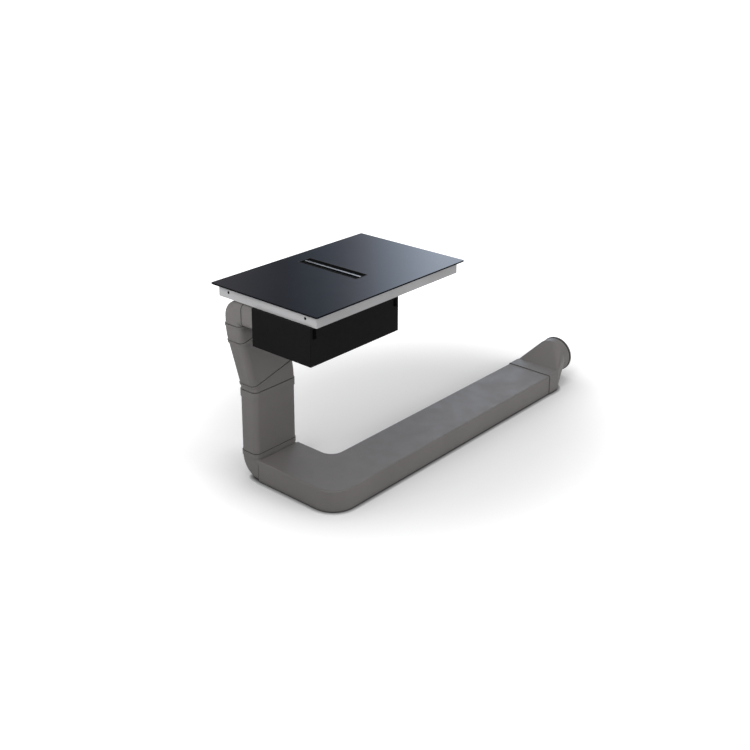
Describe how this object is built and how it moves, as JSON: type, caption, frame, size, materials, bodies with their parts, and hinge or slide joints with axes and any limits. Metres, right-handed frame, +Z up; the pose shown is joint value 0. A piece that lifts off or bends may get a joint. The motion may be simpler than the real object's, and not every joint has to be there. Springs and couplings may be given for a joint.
{
  "type": "downdraft vent",
  "caption": "Glass hob with an extractor slot in its middle, a fan casing below, and a flat duct that drops to the floor and ends in a round outlet.",
  "frame": {"origin": "on the floor, under the middle of the whole part", "axes": "+X along the hob and the long floor duct towards the round outlet, +Y from the cook towards the back, +Z up"},
  "size_m": [1.7206, 0.549, 0.8065],
  "materials": {
    "black_glass": "polished ceramic glass, near black",
    "seal_rubber": "soft black sealing strip",
    "tray_grey": "light grey coated sheet steel",
    "black_steel": "satin black coated sheet steel",
    "black_plastic": "fine matte black moulding",
    "bar_steel": "brushed stainless bar",
    "filter_steel": "stainless filter sheet",
    "bare_steel": "bright steel",
    "aluminium": "plain aluminium",
    "circuit_board": "green circuit board",
    "duct_grey": "smooth dark grey moulded plastic",
    "carrier_grey": "grey coil carrier",
    "copper": "wound copper wire"
  },
  "bodies": {
    "vent_frame": {"glass_plate": "black_glass", "seal_tape": "seal_rubber", "hob_tray": "tray_grey", "casing_screws": "bare_steel", "coil_carrier_left_front": "carrier_grey", "coil_winding_left_front": "copper", "coil_carrier_left_rear": "carrier_grey", "coil_winding_left_rear": "copper", "power_board_left": "circuit_board", "heat_sink_left": "aluminium", "coil_carrier_right_front": "carrier_grey", "coil_winding_right_front": "copper", "coil_carrier_right_rear": "carrier_grey", "coil_winding_right_rear": "copper", "power_board_right": "circuit_board", "heat_sink_right": "aluminium", "touch_board": "circuit_board", "terminal_block": "black_plastic", "cable_gland": "black_plastic", "blower_housing": "black_plastic", "inlet_frame": "black_plastic", "inlet_well": "black_plastic", "fan_casing": "black_steel", "casing_lid": "black_steel", "casing_clips": "black_plastic", "control_box": "black_plastic", "fan_scroll": "black_plastic", "fan_eye_ring": "black_plastic", "motor_housing": "aluminium", "motor_cap": "black_plastic", "motor_bearing_lower": "bare_steel", "motor_bearing_upper": "bare_steel", "motor_stator": "bare_steel", "outlet_spigot": "duct_grey", "flap_pin": "bare_steel", "upper_elbow": "duct_grey", "upper_bend": "duct_grey", "inclined_duct": "duct_grey", "lower_bend": "duct_grey", "vertical_duct": "duct_grey", "floor_elbow": "duct_grey", "floor_corner": "duct_grey", "floor_duct": "duct_grey", "joint_rings_upper": "seal_rubber", "joint_rings_floor": "seal_rubber", "round_adapter": "duct_grey"},
    "filter_unit": {"inlet_grille": "black_plastic", "grille_bar": "bar_steel", "filter_basket": "filter_steel", "filter_mesh_left": "filter_steel", "filter_mesh_right": "filter_steel"},
    "drip_drawer": {"drip_tray": "black_plastic"},
    "fan_rotor": {"fan_wheel": "black_plastic", "motor_shaft": "bare_steel", "motor_rotor": "bare_steel"},
    "cooling_rotor": {"blower_rotor": "black_plastic"},
    "damper": {"backdraft_flap": "duct_grey"}
  },
  "joints": [
    {"name": "filter_lift", "type": "slide", "parent": "vent_frame", "child": "filter_unit", "axis": [0, 0, 1], "range_m": [0, 0.13]},
    {"name": "drip_tray_drop", "type": "slide", "parent": "vent_frame", "child": "drip_drawer", "axis": [0, 0, -1], "range_m": [0, 0.06]},
    {"name": "fan_spin", "type": "hinge", "parent": "vent_frame", "child": "fan_rotor", "pos_m": [-0.67164, -0.0718, 0.7145], "axis": [0, 0, 1], "continuous": true},
    {"name": "cooling_spin", "type": "hinge", "parent": "vent_frame", "child": "cooling_rotor", "pos_m": [-0.44534, -0.1655, 0.7585], "axis": [0, 0, 1], "continuous": true},
    {"name": "flap_swing", "type": "hinge", "parent": "vent_frame", "child": "damper", "pos_m": [-0.73734, 0.0755, 0.72565], "axis": [1, 0, 0], "range_deg": [0, 75]}
  ]
}
